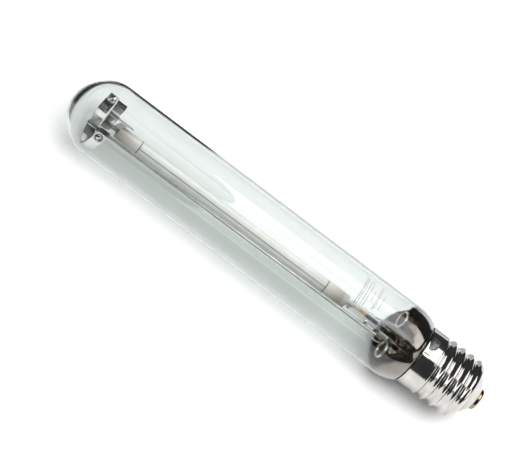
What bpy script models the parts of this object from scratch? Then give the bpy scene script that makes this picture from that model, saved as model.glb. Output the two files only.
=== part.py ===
"""High-pressure sodium grow lamp, tubular, with an E40 screw cap.

Metres, +Z up. The lamp lies along X with its cap towards +X. The origin is the middle of the
centre contact's flat end. Places inside the lamp are given as (reach, up, front): reach runs
towards the dome from a plane CONTACT_OUT inside the contact's end, up and front are measured from
the lamp's axis in the mount's own turn about that axis.
"""

import math

import bmesh
import bpy
from mathutils import Matrix, Vector

MM = 0.001
GAP = 0.3 * MM                      # clearance between pieces that touch
CONTACT_OUT = 1.4 * MM              # how far the contact's end stands beyond reach zero

# Outer bulb
DOME_TIP = 296.6 * MM               # 298 mm from the contact's end
BULB_RADIUS = 23.5 * MM
GLASS = 1.0 * MM
DOME_EXTRA = 1.2 * MM               # added glass at the dome's tip
BODY_START = 59.0 * MM              # where the straight tube meets the shoulder
SHOULDER_ARC = 24.5 * MM
SHOULDER_END = 47.0 * MM
NECK_RADIUS = 15.2 * MM
NECK_END = 20.5 * MM

# E40 screw cap
THREAD_PITCH = 6.35 * MM
THREAD_MAJOR = 19.7 * MM            # crest radius
THREAD_MINOR = 18.0 * MM            # root radius
THREAD_PHASE = 4.8 * MM             # reach of a crest straight above the axis, less whole pitches
SHEET = 0.45 * MM
COLLAR_RADIUS = 19.1 * MM
SHELL_RIM = 45.7 * MM
COLLAR_START = 36.0 * MM
THREAD_END = 33.4 * MM
LIP_TOP = 10.2 * MM
LIP_REACH = 6.5 * MM
LIP_RADIUS = 13.8 * MM
SOLDER_REACH = 41.8 * MM
SOLDER_TURN = math.radians(55)      # from above towards the front
SOLDER_HALF_SIZE = (2.8 * MM, 3.3 * MM, 0.8 * MM)
SOLDER_SAG = 0.25 * MM              # how far the collar curves away under the drop's edges
CEMENT_START = 24.0 * MM
CEMENT_END = 40.0 * MM
CEMENT_RADIUS = 16.2 * MM

# Centre contact and insulator
CONTACT_RADIUS = 7.0 * MM
CONTACT_HEIGHT = 2.6 * MM
CONTACT_ROUNDING = ((0.0, 1.5), (0.35, 0.5), (1.1, 0.0))  # down and inwards from the rim, mm
CONTACT_STEM = 3.0 * MM
CONTACT_DEPTH = 7.6 * MM             # reach of its shank's inner end
INSULATOR_FACE = CONTACT_HEIGHT - CONTACT_OUT + GAP
INSULATOR_BORE = CONTACT_STEM + GAP + 0.1 * MM
INSULATOR_FACE_RADIUS = 8.3 * MM
INSULATOR_BACK = 13.0 * MM
# (reach, radius) in millimetres of the insulator's stepped face
INSULATOR_STEPS = ((3.2, 10.5), (5.6, 13.3), (7.3, 13.3), (8.9, 15.2), (11.0, 16.6), (13.0, 16.6))

# Stem
STEM_RADIUS = 6.5 * MM
STEM_WALL = 1.1 * MM
STEM_TOP = 58.5 * MM
PRESS_TOP = 71.5 * MM
PRESS_WIDTH = 12.0 * MM
PRESS_THICKNESS = 5.0 * MM
PRESS_ROUNDING = 1.2 * MM
FLARE_STEPS = ((36.0, 0.0), (29.0, 1.6), (24.0, 4.0))  # reach and widening, mm
EXHAUST_SPOT = (2.9 * MM, 1.6 * MM)
EXHAUST_RADIUS = 1.5 * MM
EXHAUST_TIP = 27.0 * MM
INNER_LEAD = 0.8 * MM
OUTER_LEAD = 0.4 * MM
SIDE_LEAD = 0.3 * MM
LEAD_JOINT = 63.8 * MM              # where inner and outer leads meet inside the press
ARC_LEAD_SPOT = (0.4 * MM, -2.0 * MM)
FRAME_LEAD_SPOT = (-3.0 * MM, 3.0 * MM)
FRAME_LEAD_SIDE = (-4.05 * MM, 4.6 * MM)  # where it runs beside the frame rod
FRAME_LEAD_END = 79.5 * MM
SIDE_LEAD_RADIUS = 16.75 * MM       # of its run outside the cement
SLEEVE_START = 73.8 * MM
SLEEVE_END = 81.6 * MM
SLEEVE_WALL = 0.35 * MM

# Arc tube
ARC_RADIUS = 4.2 * MM
ARC_WALL = 0.75 * MM
ARC_START = 96.4 * MM
ARC_END = 263.8 * MM
ARC_UP = -0.1 * MM                  # at its cap end
ARC_LEAN = 0.3                      # degrees, the dome end hangs lower
PLUG_LENGTH = 5.0 * MM
NIOBIUM_RADIUS = 1.1 * MM
NIOBIUM_BORE = 0.6 * MM
NIOBIUM_CAP_END = 91.3 * MM
NIOBIUM_DOME_END = 267.6 * MM
NIOBIUM_INSIDE = 0.8 * MM           # how far the feed tube passes the plug
NIOBIUM_CLOSURE = 1.2 * MM
# distance from the feed tube and radius, mm: shank, wound coil, bare tip
ELECTRODE_STEPS = ((0.0, 0.45), (3.0, 0.45), (3.2, 1.1), (8.0, 1.1), (8.2, 0.45), (9.2, 0.45))
ANTENNA_RINGS = (111.9 * MM, 248.2 * MM)
TRACK_WIDTH = 0.7 * MM
TRACK_THICKNESS = 0.35 * MM
TRACK_UP = -0.9 * MM

# Frame rod
ROD_RADIUS = 1.0 * MM
ROD_START = (72.2 * MM, -5.3 * MM, 6.5 * MM)
ROD_END = (283.0 * MM, -6.7 * MM, 6.5 * MM)
LINK_MIDDLE = 81.1 * MM
LINK_WIDTH = 1.9 * MM
LINK_PATH = ((-1.6, -3.2), (-1.6, 4.9), (-4.6, 5.15))  # (up, front) in millimetres
# (reach, up) in millimetres of the strap under the feed tube, with its small tail
CAP_STRAP_CORNERS = ((92.2, -1.55), (95.6, -1.55), (95.6, -1.95), (94.4, -1.95), (94.1, -3.0),
                     (93.4, -3.0), (93.1, -1.95), (92.2, -1.95))
CAP_STRAP_FRONTS = (-1.2, 1.2)

# Dome end springs and bracket
STRIP_THICKNESS = 0.4 * MM
STRIP_WIDTH = 6.6 * MM
SPRING_MIDDLE = 274.6 * MM
SPRING_SKEW = -0.12                 # along the lamp for each unit towards the front
BRACKET_MIDDLE = 271.25 * MM
BRACKET_SKEW = 0.13
STRAP_MIDDLE = 273.4 * MM
STRAP_SKEW = -0.05
ARM_MIDDLE = 266.2 * MM
ARM_LENGTH = 17.6 * MM
# paths of (up, front) in millimetres that the strips are folded along
SPRING_PATH = ((15.0, -13.3), (11.4, -16.0), (4.2, -19.0), (-7.8, -16.4), (-14.0, -10.8), (-18.2, -4.0),
               (-19.4, 1.5), (-17.6, 8.0), (-13.6, 13.4), (-7.4, 17.4), (-4.6, 18.6))
BRACKET_PATH = ((13.5, 12.5), (6.2, 16.8), (3.7, 15.7), (3.9, 7.0), (5.2, -2.5), (-1.0, -1.9),
                (-1.0, 3.0), (-4.6, 4.9), (-8.4, 4.9))
STRAP_PATH = ((-8.0, 8.05), (-5.4, 8.05), (-5.4, 17.3))
ARM_PATH = ((6.0, -2.5), (4.75, 6.5))
# (reach, up) in millimetres of the slanted clip that joins the arm to the bracket
CLIP_CORNERS = ((266.0, 4.3), (261.0, 4.3), (264.6, 1.2), (265.3, -0.6), (270.9, -0.6), (270.9, 0.3),
                (268.4, 0.3))
CLIP_FRONTS = (5.0, 5.4)
FLEX_LEAD_RADIUS = 0.45 * MM
FLEX_LEAD_END = (273.0 * MM, 0.2 * MM, 0.0)
BALL_RADIUS = 3.3 * MM
DIMPLES = (("rear", 11.7 * MM, -14.3 * MM), ("front", -10.6 * MM, 15.6 * MM))  # up and front

# Getter rings
GETTER_RADIUS = 4.95 * MM
GETTER_SECTION = 0.6 * MM
GETTER_TILT = math.radians(14)      # from square to the lamp's axis
GETTER_WIRE = 0.4 * MM
# ring centre and wire route of each, as (reach, up, front) in millimetres
GETTERS = (("front", (64.6, -9.8, 9.0), ((66.6, -7.2, 4.9), (70.0, -8.2, 3.4), (75.2, -5.9, 3.6))),
           ("rear", (64.0, 10.9, 3.0), ((65.6, 5.7, 1.6), (70.0, 4.3, 0.6), (76.6, 2.6, -1.3))))

MOUNT_TURN = math.radians(-55)      # turn of everything inside about the lamp's axis
AROUND = 40                         # sides of the large turned pieces


# Helpers ------------------------------------------------------------------------------------

def spot(reach, up, front):
    """A point inside the lamp, in the frame of the lamp's axis."""
    return Vector((-reach - CONTACT_OUT, -front, up))


def finish_material(name, colour, roughness, metallic):
    """The sub-part's own Principled material."""
    material = bpy.data.materials.new(name + "_finish")
    material.use_nodes = True
    shader = material.node_tree.nodes["Principled BSDF"]
    shader.inputs["Base Color"].default_value = (*colour, 1.0)
    shader.inputs["Roughness"].default_value = roughness
    shader.inputs["Metallic"].default_value = metallic
    return material


def add_object(name, mesh_data, finish, parent):
    """Places a sub-part under the lamp's axis with its material."""
    thing = bpy.data.objects.new(name, mesh_data)
    mesh_data.materials.append(finish_material(name, *FINISHES[finish]))
    bpy.context.collection.objects.link(thing)
    thing.parent = parent
    return thing


def mesh_object(name, bm, finish, parent):
    """Turns a bmesh into a smooth-shaded sub-part whose faces point out."""
    bmesh.ops.recalc_face_normals(bm, faces=bm.faces)
    mesh = bpy.data.meshes.new(name)
    bm.to_mesh(mesh)
    bm.free()
    mesh.shade_smooth()
    mesh.set_sharp_from_angle(angle=math.radians(35))
    return add_object(name, mesh, finish, parent)


def join_rings(bm, rings):
    """Bridges each ring of vertices to the next with quads."""
    for first, second in zip(rings, rings[1:]):
        count = len(first)
        for i in range(count):
            j = (i + 1) % count
            bm.faces.new((first[i], first[j], second[j], second[i]))


def ring_at(bm, centre, radius, sides):
    """A ring of vertices square to the lamp's axis round a centre of (reach, up, front)."""
    reach, up, front = centre
    ring = []
    for i in range(sides):
        angle = 2 * math.pi * i / sides
        side = (up + radius * math.cos(angle), front + radius * math.sin(angle))
        ring.append(bm.verts.new(spot(reach, *side)))
    return ring


def turned(name, outline, finish, parent, sides=AROUND, closed=False):
    """A piece turned about the lamp's axis from an outline of (reach, radius).

    An open outline starts and ends on the axis; a closed one makes a ring.
    """
    bm = bmesh.new()
    rows = outline if closed else outline[1:-1]
    rings = [ring_at(bm, (reach, 0.0, 0.0), radius, sides) for reach, radius in rows]
    if closed:
        rings.append(rings[0])
    join_rings(bm, rings)
    if not closed:
        for end, ring in ((outline[0], rings[0]), (outline[-1], rings[-1])):
            tip = bm.verts.new(spot(end[0], 0, 0))
            for i in range(sides):
                bm.faces.new((ring[i], ring[(i + 1) % sides], tip))
    return mesh_object(name, bm, finish, parent)


def wire(name, points, radius, finish, parent, resolution=2):
    """A round wire through points of (reach, up, front)."""
    curve = bpy.data.curves.new(name, "CURVE")
    curve.dimensions = "3D"
    curve.bevel_depth = radius
    curve.bevel_resolution = resolution
    curve.use_fill_caps = True
    spline = curve.splines.new("POLY")
    spline.points.add(len(points) - 1)
    for point, place in zip(spline.points, points):
        point.co = (*spot(*place), 1.0)
    return add_object(name, curve, finish, parent)


def mitred_sides(path, thickness):
    """Both edges of a strip of the given thickness along a flat path."""
    left = []
    right = []
    for i, here in enumerate(path):
        before = path[max(i - 1, 0)]
        after = path[min(i + 1, len(path) - 1)]
        way_in = (here - before).normalized() if i > 0 else (after - here).normalized()
        way_out = (after - here).normalized() if i < len(path) - 1 else way_in
        normal = Vector((-way_in.y - way_out.y, way_in.x + way_out.x)).normalized()
        reach = thickness / 2 / max(normal.dot(Vector((-way_in.y, way_in.x))), 0.4)
        left.append(here + normal * reach)
        right.append(here - normal * reach)
    return left, right


def folded_strip(name, path, finish, parent, middle, skew=0.0, width=STRIP_WIDTH,
                 thickness=STRIP_THICKNESS):
    """Sheet strip folded along a path of (up, front), its width along the lamp.

    Skew moves the strip along the lamp by that much for each metre towards the front.
    """
    points = [Vector((up, front)) * MM for up, front in path]
    left, right = mitred_sides(points, thickness)
    bm = bmesh.new()
    rings = []
    for side in (-width / 2, width / 2):
        outline = left + right[::-1]
        rings.append([bm.verts.new(spot(middle + side + skew * p.y, p.x, p.y)) for p in outline])
    join_rings(bm, rings)
    count = len(left)
    for ring in rings:
        for i in range(count - 1):
            bm.faces.new((ring[i], ring[i + 1], ring[-i - 2], ring[-i - 1]))
    return mesh_object(name, bm, finish, parent)


def plate(name, corners, front_range, finish, parent):
    """A flat plate with corners of (reach, up), between two depths to the front."""
    bm = bmesh.new()
    rings = []
    for front in front_range:
        rings.append([bm.verts.new(spot(reach * MM, up * MM, front * MM)) for reach, up in corners])
    join_rings(bm, rings)
    for ring in rings:
        bm.faces.new(ring)
    return mesh_object(name, bm, finish, parent)


def cutter(name, parent, points, radius, sides=16):
    """A round bar used only to drill a hole."""
    bm = bmesh.new()
    rings = [ring_at(bm, point, radius, sides) for point in points]
    join_rings(bm, rings)
    for ring in rings:
        bm.faces.new(ring)
    return hide_tool(mesh_object(name, bm, "steel", parent))


def hide_tool(thing):
    """Marks an object as a modelling aid."""
    thing.hide_render = True
    thing.display_type = "WIRE"
    return thing


def add_boolean(thing, tool, operation):
    """Cuts or joins with the exact solver."""
    modifier = thing.modifiers.new(tool.name, "BOOLEAN")
    modifier.object = tool
    modifier.operation = operation
    modifier.solver = "EXACT"
    return modifier


# Finishes: colour, roughness, metallic ----------------------------------------------------

FINISHES = {
    "glass": ((0.86, 0.90, 0.88), 0.03, 0.0),
    "nickel": ((0.72, 0.71, 0.68), 0.14, 1.0),
    "brass": ((0.72, 0.50, 0.24), 0.22, 1.0),
    "insulator": ((0.58, 0.57, 0.54), 0.45, 0.0),
    "solder": ((0.36, 0.36, 0.37), 0.42, 1.0),
    "cement": ((0.62, 0.56, 0.47), 0.85, 0.0),
    "steel": ((0.66, 0.66, 0.65), 0.16, 1.0),
    "copper": ((0.72, 0.42, 0.26), 0.28, 1.0),
    "alumina": ((0.86, 0.86, 0.83), 0.42, 0.0),
    "plug": ((0.60, 0.57, 0.53), 0.50, 0.0),
    "niobium": ((0.50, 0.49, 0.48), 0.32, 1.0),
    "tungsten": ((0.24, 0.24, 0.25), 0.40, 1.0),
    "track": ((0.10, 0.10, 0.10), 0.55, 0.4),
    "sleeve": ((0.16, 0.18, 0.22), 0.30, 0.0),
    "getter": ((0.60, 0.58, 0.56), 0.35, 1.0),
}


# Bulb --------------------------------------------------------------------------------------

def bulb_outline(inset, dome_steps=9, shoulder_steps=4):
    """Outline of one face of the glass, from the dome's tip to the neck's end."""
    radius = BULB_RADIUS - inset
    extra = DOME_EXTRA * inset / GLASS
    centre = DOME_TIP - BULB_RADIUS
    points = []
    for i in range(dome_steps + 1):
        angle = math.pi / 2 * i / dome_steps
        tip_share = math.cos(angle) ** 1.5
        along = (radius - extra * tip_share) * math.cos(angle)
        points.append((centre + along, (radius - 0.6 * extra * tip_share) * math.sin(angle)))
    arc = SHOULDER_ARC - inset
    for i in range(shoulder_steps + 1):
        back = (BODY_START - SHOULDER_END) * i / shoulder_steps
        points.append((BODY_START - back, radius - arc + math.sqrt(arc * arc - back * back)))
    neck = NECK_RADIUS - inset
    step = points[-1][1]
    slope = 0.4 * inset
    points.append((SHOULDER_END - 0.7 * MM + slope, step - 1.2 * MM))
    points.append((SHOULDER_END - 1.0 * MM + slope, neck + 2.4 * MM))
    points.append((SHOULDER_END - 1.8 * MM + slope, neck + 1.2 * MM))
    points.append((SHOULDER_END - 5.0 * MM, neck))
    points.append((NECK_END, neck))
    return points


def make_bulb(axis):
    outer = bulb_outline(0.0)
    inner = bulb_outline(GLASS)
    turned("outer_bulb", outer + inner[::-1], "glass", axis)


# Screw cap ----------------------------------------------------------------------------------

def smooth_step(value, low, high):
    """0 below low, 1 above high, and a soft rise between."""
    share = min(max((value - low) / (high - low), 0.0), 1.0)
    return share * share * (3 - 2 * share)


def shell_radius(reach, angle):
    """Radius of the rolled thread's outer face; the angle runs from above towards the front."""
    middle = (THREAD_MAJOR + THREAD_MINOR) / 2
    depth = (THREAD_MAJOR - THREAD_MINOR) / 2
    turns = (reach - THREAD_PHASE) / THREAD_PITCH + angle / (2 * math.pi)
    window = smooth_step(reach, LIP_TOP - 1.5 * MM, LIP_TOP + 2.0 * MM)
    window *= 1 - smooth_step(reach, THREAD_END, COLLAR_START)
    wave = depth * math.cos(2 * math.pi * turns) * window
    collar = smooth_step(reach, THREAD_END, COLLAR_START)
    return middle + (COLLAR_RADIUS - middle) * collar + wave


def make_screw_shell(axis, sides=30, lip_steps=4, rows_per_pitch=6):
    """Rolled sheet shell with a right-hand knuckle thread, a plain collar and a curled lip."""
    bm = bmesh.new()
    thread_rows = round((COLLAR_START - LIP_TOP) / THREAD_PITCH * rows_per_pitch)
    faces = []
    for inset in (0.0, SHEET):
        rings = []
        for i in range(lip_steps):
            turn = math.pi / 2 * i / lip_steps
            reach = LIP_TOP - (LIP_TOP - LIP_REACH - inset) * math.cos(turn)
            rings.append([(reach, angle, math.sin(turn)) for angle in range(sides)])
        for i in range(thread_rows + 1):
            reach = LIP_TOP + (COLLAR_START - LIP_TOP) * i / thread_rows
            rings.append([(reach, angle, 1.0) for angle in range(sides)])
        rings.append([(SHELL_RIM, angle, 1.0) for angle in range(sides)])
        made = []
        for ring in rings:
            row = []
            for reach, step, share in ring:
                angle = 2 * math.pi * step / sides
                full = shell_radius(reach, angle) - inset
                radius = LIP_RADIUS + (full - LIP_RADIUS) * share
                row.append(bm.verts.new(spot(reach, radius * math.cos(angle), radius * math.sin(angle))))
            made.append(row)
        faces.append(made)
    outer, inner = faces
    join_rings(bm, outer + inner[::-1] + [outer[0]])
    mesh_object("screw_shell", bm, "nickel", axis)


def make_cap_pieces(axis):
    face = INSULATOR_FACE
    bore = INSULATOR_BORE
    outline = [(face, bore), (face, INSULATOR_FACE_RADIUS)]
    outline += [(reach * MM, radius * MM) for reach, radius in INSULATOR_STEPS]
    outline.append((INSULATOR_BACK, bore))
    turned("cap_insulator", outline, "insulator", axis, closed=True)

    edge = CONTACT_RADIUS
    end = -CONTACT_OUT
    back = end + CONTACT_HEIGHT
    outline = [(end, 0.0)]
    outline += [(end + down * MM, edge - inwards * MM) for down, inwards in CONTACT_ROUNDING]
    outline += [(back, edge), (back, CONTACT_STEM)]
    outline += [(CONTACT_DEPTH, CONTACT_STEM), (CONTACT_DEPTH, 0.0)]
    turned("centre_contact", outline, "brass", axis, sides=32)

    inner = NECK_RADIUS + GAP
    outline = [(CEMENT_START, inner), (CEMENT_START, CEMENT_RADIUS)]
    outline += [(CEMENT_END, CEMENT_RADIUS), (CEMENT_END, inner)]
    turned("basing_cement", outline, "cement", axis, closed=True)


def make_side_solder(axis):
    """Flattened drop of solder on the collar beside the rim."""
    bm = bmesh.new()
    bmesh.ops.create_icosphere(bm, subdivisions=2, radius=1.0)
    drop = Matrix.Diagonal((*SOLDER_HALF_SIZE, 1.0))
    height = COLLAR_RADIUS + SOLDER_HALF_SIZE[2] + GAP + SOLDER_SAG
    lift = Matrix.Translation(spot(SOLDER_REACH, height, 0.0))
    bm.transform(Matrix.Rotation(SOLDER_TURN, 4, "X") @ lift @ drop)
    mesh_object("side_solder", bm, "solder", axis)


# Stem and leads ------------------------------------------------------------------------------

def make_stem(axis):
    """Flare and tube with a flattened press on top, drilled for both leads."""
    wall = STEM_WALL
    radius = STEM_RADIUS
    flare = NECK_END - GAP
    round_off = 1.5 * MM
    outline = [(STEM_TOP, 0.0), (STEM_TOP, radius - round_off), (STEM_TOP - round_off, radius)]
    outline += [(reach * MM, radius + wider * MM) for reach, wider in FLARE_STEPS]
    outline += [(flare, NECK_RADIUS - GLASS), (flare - wall, NECK_RADIUS - GLASS)]
    outline += [(reach * MM - wall, radius + wider * MM - wall) for reach, wider in FLARE_STEPS[::-1]]
    outline.append((STEM_TOP - 2 * round_off, radius - wall))
    outline += [(STEM_TOP - round_off, radius - wall - round_off), (STEM_TOP - round_off, 0.0)]
    stem = turned("stem_glass", outline, "glass", axis, sides=32)

    bm = bmesh.new()
    bmesh.ops.create_cube(bm, size=1.0)
    bottom = STEM_TOP - 1.0 * MM
    size = Matrix.Diagonal((PRESS_TOP - bottom, PRESS_WIDTH, PRESS_THICKNESS, 1.0))
    up = (ARC_LEAD_SPOT[0] + FRAME_LEAD_SPOT[0]) / 2
    front = (ARC_LEAD_SPOT[1] + FRAME_LEAD_SPOT[1]) / 2
    slant = math.atan2(FRAME_LEAD_SPOT[0] - ARC_LEAD_SPOT[0], ARC_LEAD_SPOT[1] - FRAME_LEAD_SPOT[1])
    place = Matrix.Translation(spot((PRESS_TOP + bottom) / 2, up, front))
    bm.transform(place @ Matrix.Rotation(slant, 4, "X") @ size)
    bm.normal_update()
    bmesh.ops.bevel(bm, geom=bm.edges[:], offset=PRESS_ROUNDING, segments=2, profile=0.5, affect="EDGES")
    press = hide_tool(mesh_object("stem_press_tool", bm, "glass", axis))
    add_boolean(stem, press, "UNION")
    for label, lead in (("arc", ARC_LEAD_SPOT), ("frame", FRAME_LEAD_SPOT)):
        hole = [(STEM_TOP - 4.0 * MM, *lead), (PRESS_TOP + 1.0 * MM, *lead)]
        drill = cutter(label + "_lead_drill", axis, hole, INNER_LEAD + GAP)
        add_boolean(stem, drill, "DIFFERENCE")


def make_exhaust_tube(axis):
    """Pumping tube inside the stem, tipped off at its lower end."""
    ends = [(STEM_TOP - 3.2 * MM, *EXHAUST_SPOT), (EXHAUST_TIP, *EXHAUST_SPOT)]
    wire("exhaust_tube", ends, EXHAUST_RADIUS, "glass", axis, resolution=3)


def make_leads(axis):
    low = LEAD_JOINT - GAP
    arc = ARC_LEAD_SPOT
    frame = FRAME_LEAD_SPOT
    weld = NIOBIUM_CAP_END - GAP
    path = [(LEAD_JOINT, *arc), (82.4 * MM, *arc), (87.5 * MM, 0.4 * MM, -0.4 * MM)]
    path.append((weld, 0.2 * MM, 0.0))
    wire("arc_tube_lead", path, INNER_LEAD, "copper", axis)

    side = FRAME_LEAD_SIDE
    path = [(LEAD_JOINT, *frame), (72.0 * MM, *frame), (75.0 * MM, *side), (FRAME_LEAD_END, *side)]
    wire("frame_lead", path, INNER_LEAD, "steel", axis)

    path = [(low, *arc), (30.0 * MM, *arc), (17.0 * MM, 0.0, 0.0), (CONTACT_DEPTH + GAP, 0.0, 0.0)]
    wire("centre_contact_lead", path, OUTER_LEAD, "copper", axis)

    over = (SIDE_LEAD_RADIUS * math.cos(SOLDER_TURN), SIDE_LEAD_RADIUS * math.sin(SOLDER_TURN))
    path = [(low, *frame), (26.0 * MM, *frame), (17.6 * MM, 1.5 * MM, 4.5 * MM)]
    path += [(16.6 * MM, 0.8 * over[0], 0.8 * over[1]), (19.0 * MM, *over), (43.6 * MM, *over)]
    wire("side_contact_lead", path, SIDE_LEAD, "copper", axis)


# Arc tube ------------------------------------------------------------------------------------

def make_arc_tube(axis):
    """Translucent ceramic tube with its end plugs, feed tubes, electrodes and starting track."""
    lean = bpy.data.objects.new("arc_tube_axis", None)
    bpy.context.collection.objects.link(lean)
    lean.parent = axis
    lean.location = spot(ARC_START, ARC_UP, 0.0) - spot(ARC_START, 0.0, 0.0)
    turn = Matrix.Rotation(math.radians(-ARC_LEAN), 4, "Y")
    pivot = Matrix.Translation(spot(ARC_START, 0.0, 0.0))
    lean.matrix_local = Matrix.Translation(lean.location) @ pivot @ turn @ pivot.inverted()

    bore = ARC_RADIUS - ARC_WALL
    outline = [(ARC_START, bore), (ARC_START, ARC_RADIUS), (ARC_END, ARC_RADIUS), (ARC_END, bore)]
    turned("arc_tube", outline, "alumina", lean, sides=28, closed=True)
    ends = (("cap_side", ARC_START, NIOBIUM_CAP_END, 1.0), ("dome_side", ARC_END, NIOBIUM_DOME_END, -1.0))
    for label, mouth, tail, inward in ends:
        make_arc_tube_end(lean, label, mouth, tail, inward)
    make_antenna(lean)


def make_arc_tube_end(lean, label, mouth, tail, inward):
    """Plug, niobium feed tube and electrode at one end; inward points into the arc tube."""
    plug_out = ARC_RADIUS - ARC_WALL - GAP
    plug_in = NIOBIUM_RADIUS + GAP
    far = mouth + inward * PLUG_LENGTH
    near = mouth + inward * GAP
    outline = [(near, plug_in), (near, plug_out), (far, plug_out), (far, plug_in)]
    turned("end_plug_" + label, outline, "plug", lean, sides=20, closed=True)

    top = mouth + inward * (PLUG_LENGTH + NIOBIUM_INSIDE)
    floor = top - inward * NIOBIUM_CLOSURE
    outline = [(top, 0.0), (top, NIOBIUM_RADIUS), (tail, NIOBIUM_RADIUS), (tail, NIOBIUM_BORE)]
    outline += [(floor, NIOBIUM_BORE), (floor, 0.0)]
    turned("niobium_tube_" + label, outline, "niobium", lean, sides=16)

    base = top + inward * GAP
    outline = [(base, 0.0)]
    outline += [(base + inward * along * MM, radius * MM) for along, radius in ELECTRODE_STEPS]
    outline.append((base + inward * ELECTRODE_STEPS[-1][0] * MM, 0.0))
    turned("electrode_" + label, outline, "tungsten", lean, sides=12)


def make_antenna(lean):
    """Two bands round the arc tube joined by a straight track along its front."""
    inner = ARC_RADIUS + GAP
    outer = inner + TRACK_THICKNESS
    half = TRACK_WIDTH / 2
    first, last = ANTENNA_RINGS
    outline = [(first - half, inner), (first - half, outer), (first + half, outer), (first + half, inner)]
    band = turned("ignition_antenna", outline, "track", lean, sides=28, closed=True)
    outline = [(reach + last - first, radius) for reach, radius in outline]
    other = hide_tool(turned("antenna_band_tool", outline, "track", lean, sides=28, closed=True))
    bm = bmesh.new()
    bmesh.ops.create_cube(bm, size=1.0)
    size = Matrix.Diagonal((last - first, TRACK_THICKNESS, TRACK_WIDTH, 1.0))
    place = spot((first + last) / 2, TRACK_UP, inner + TRACK_THICKNESS / 2)
    bm.transform(Matrix.Translation(place) @ size)
    line = hide_tool(mesh_object("antenna_line_tool", bm, "track", lean))
    add_boolean(band, line, "UNION")
    add_boolean(band, other, "UNION")


# Frame ---------------------------------------------------------------------------------------

def make_frame(axis):
    wire("frame_rod", [ROD_START, ROD_END], ROD_RADIUS, "steel", axis, resolution=3)

    hollow_sleeve(axis)
    folded_strip("frame_link", LINK_PATH, "steel", axis, LINK_MIDDLE, width=LINK_WIDTH)
    plate("cap_side_strap", CAP_STRAP_CORNERS, CAP_STRAP_FRONTS, "steel", axis)


def hollow_sleeve(axis):
    """Insulating sleeve slipped over the arc tube's lead, cut square to the lamp's axis."""
    sides = 16
    bore = INNER_LEAD + GAP
    outside = bore + SLEEVE_WALL
    corners = ((SLEEVE_START, bore), (SLEEVE_START, outside), (SLEEVE_END, outside), (SLEEVE_END, bore))
    bm = bmesh.new()
    rings = [ring_at(bm, (reach, *ARC_LEAD_SPOT), radius, sides) for reach, radius in corners]
    join_rings(bm, rings + [rings[0]])
    mesh_object("lead_sleeve", bm, "sleeve", axis)


def make_spring(axis):
    """Open band inside the dome end, with a round dimple near each end that bears on the glass."""
    band = folded_strip("dome_spring", SPRING_PATH, "steel", axis, SPRING_MIDDLE, SPRING_SKEW)
    for label, up, front in DIMPLES:
        bm = bmesh.new()
        bmesh.ops.create_uvsphere(bm, u_segments=14, v_segments=8, radius=BALL_RADIUS)
        bm.transform(Matrix.Translation(spot(SPRING_MIDDLE + SPRING_SKEW * front, up, front)))
        ball = hide_tool(mesh_object(label + "_dimple_tool", bm, "steel", axis))
        add_boolean(band, ball, "UNION")


def make_dome_bracket(axis):
    folded_strip("dome_bracket", BRACKET_PATH, "steel", axis, BRACKET_MIDDLE, BRACKET_SKEW)
    folded_strip("spring_strap", STRAP_PATH, "steel", axis, STRAP_MIDDLE, STRAP_SKEW)
    folded_strip("bracket_arm", ARM_PATH, "steel", axis, ARM_MIDDLE, width=ARM_LENGTH)
    plate("support_clip", CLIP_CORNERS, CLIP_FRONTS, "steel", axis)
    path = [(NIOBIUM_DOME_END + GAP, 0.0, 0.0), FLEX_LEAD_END]
    wire("dome_flex_lead", path, FLEX_LEAD_RADIUS, "steel", axis)


# Getters -------------------------------------------------------------------------------------

def getter_ring(axis, name, place):
    """Channel ring that held the getter, tilted a little from square to the axis."""
    bm = bmesh.new()
    rings = []
    for i in range(24):
        angle = 2 * math.pi * i / 24
        ring = []
        for j in range(8):
            around = 2 * math.pi * j / 8
            radius = GETTER_RADIUS + GETTER_SECTION * math.cos(around)
            width = GETTER_SECTION * math.sin(around)
            ring.append(bm.verts.new((width, radius * math.cos(angle), radius * math.sin(angle))))
        rings.append(ring)
    join_rings(bm, rings + [rings[0]])
    bm.transform(Matrix.Translation(spot(*place)) @ Matrix.Rotation(GETTER_TILT, 4, "Z"))
    mesh_object(name, bm, "getter", axis)


def make_getters(axis):
    for label, place, route in GETTERS:
        getter_ring(axis, "getter_ring_" + label, [v * MM for v in place])
        path = [tuple(v * MM for v in point) for point in route]
        wire("getter_wire_" + label, path, GETTER_WIRE, "steel", axis)


def make_lamp():
    for thing in list(bpy.data.objects):
        bpy.data.objects.remove(thing, do_unlink=True)
    axis = bpy.data.objects.new("lamp_axis", None)
    bpy.context.collection.objects.link(axis)
    axis.rotation_euler = (MOUNT_TURN, 0.0, 0.0)
    make_bulb(axis)
    make_screw_shell(axis)
    make_cap_pieces(axis)
    make_side_solder(axis)
    make_stem(axis)
    make_exhaust_tube(axis)
    make_leads(axis)
    make_arc_tube(axis)
    make_frame(axis)
    make_spring(axis)
    make_dome_bracket(axis)
    make_getters(axis)


make_lamp()
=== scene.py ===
"""Looks for the tubular sodium grow lamp: glass, plated cap, ceramic arc tube and wire frame.

Metres. The lamp lies along X with its cap towards +X. Places inside it are given in millimetres
as (reach, up, front): reach runs towards the dome from a plane CONTACT_OUT inside the contact's
end, up and front are measured from the lamp's axis in the mount's own turn about that axis.
"""

import math

import bmesh
import bpy
from mathutils import Matrix, Vector, noise


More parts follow.
